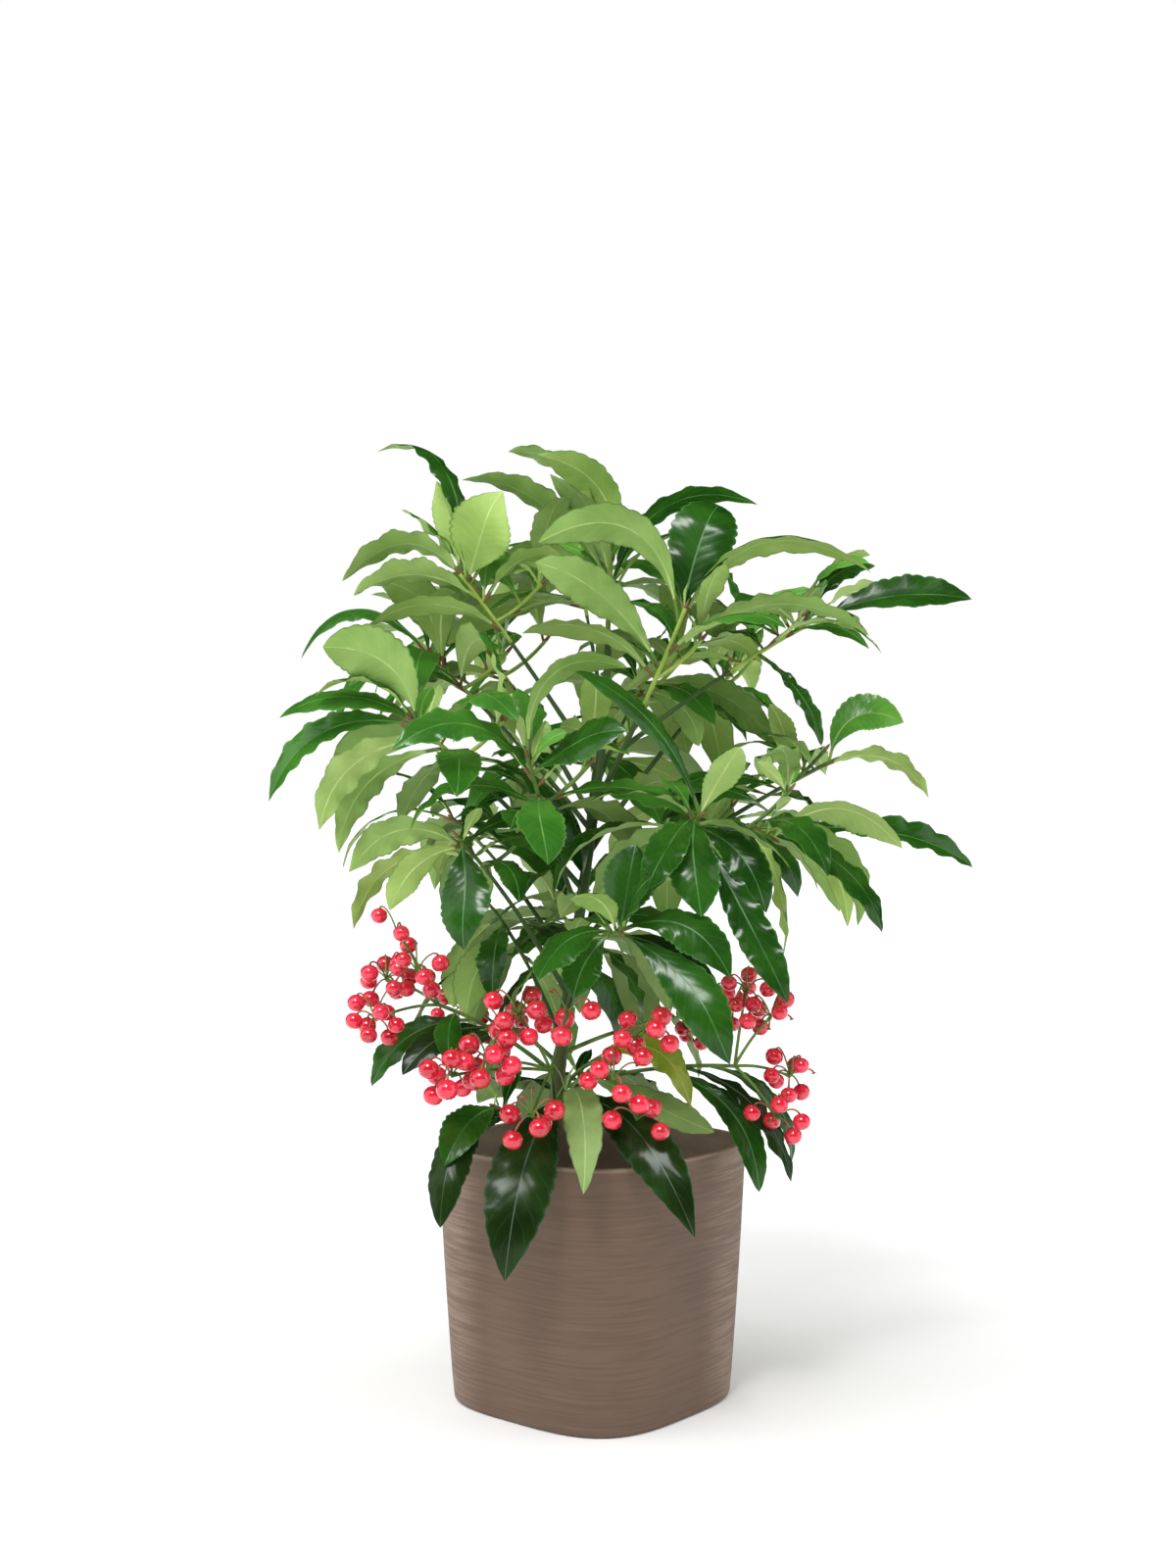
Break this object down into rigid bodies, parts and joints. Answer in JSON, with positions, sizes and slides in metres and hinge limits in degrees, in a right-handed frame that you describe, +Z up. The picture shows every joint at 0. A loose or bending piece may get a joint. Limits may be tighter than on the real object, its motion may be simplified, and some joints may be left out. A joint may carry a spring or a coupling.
{
  "type": "potted coral-berry shrub",
  "caption": "small evergreen shrub with whorls of glossy scalloped leaves and drooping clusters of coral-red berries, standing in a tapered rounded-square planter",
  "frame": {"origin": "centre of the planter's flat underside, on the floor", "axes": "+Z up, +X to the viewer's right, -Y towards the viewer"},
  "size_m": [0.366, 0.318, 0.489],
  "materials": {
    "planter": "brushed brown resin, fine level streaks, paler rim",
    "soil": "moist dark potting mix of bark and peat",
    "bark": "smooth green-brown young bark with leaf scars",
    "foliage": "glossy deep green leaves, pale matt green below",
    "fruit": "glossy coral-red berries on thin reddish stalks"
  },
  "bodies": {
    "root": {"planter": "planter", "soil": "soil", "trunk": "bark", "bough_top_left": "bark", "bough_upper_right": "bark", "bough_far_upper_right": "bark", "bough_middle_right": "bark", "bough_lower_right": "bark", "bough_centre_right": "bark", "bough_centre_left": "bark", "bough_left": "bark", "bough_upper_left": "bark", "bough_lower_left": "bark", "bough_front_centre": "bark", "bough_inner_left": "bark", "bough_inner_right": "bark", "bough_back_left": "bark", "bough_back_top": "bark", "bough_back_right": "bark", "bough_back_low_left": "bark", "bough_back_low_right": "bark", "bough_back_middle": "bark", "bough_back_low": "bark", "foliage_trunk_top": "foliage", "foliage_top_left": "foliage", "foliage_upper_right": "foliage", "foliage_far_upper_right": "foliage", "foliage_middle_right": "foliage", "foliage_lower_right": "foliage", "foliage_centre_right": "foliage", "foliage_centre_left": "foliage", "foliage_left": "foliage", "foliage_upper_left": "foliage", "foliage_lower_left": "foliage", "foliage_front_centre": "foliage", "foliage_inner_left": "foliage", "foliage_inner_right": "foliage", "foliage_back_left": "foliage", "foliage_back_top": "foliage", "foliage_back_right": "foliage", "foliage_back_low_left": "foliage", "foliage_back_low_right": "foliage", "foliage_back_middle": "foliage", "foliage_back_low": "foliage", "foliage_skirt_front": "foliage", "foliage_skirt_left": "foliage", "foliage_skirt_back": "foliage", "berries_left": "fruit", "berries_centre": "fruit", "berries_centre_right": "fruit", "berries_right": "fruit", "berries_back_left": "fruit", "berries_back_right": "fruit"}
  },
  "joints": []
}
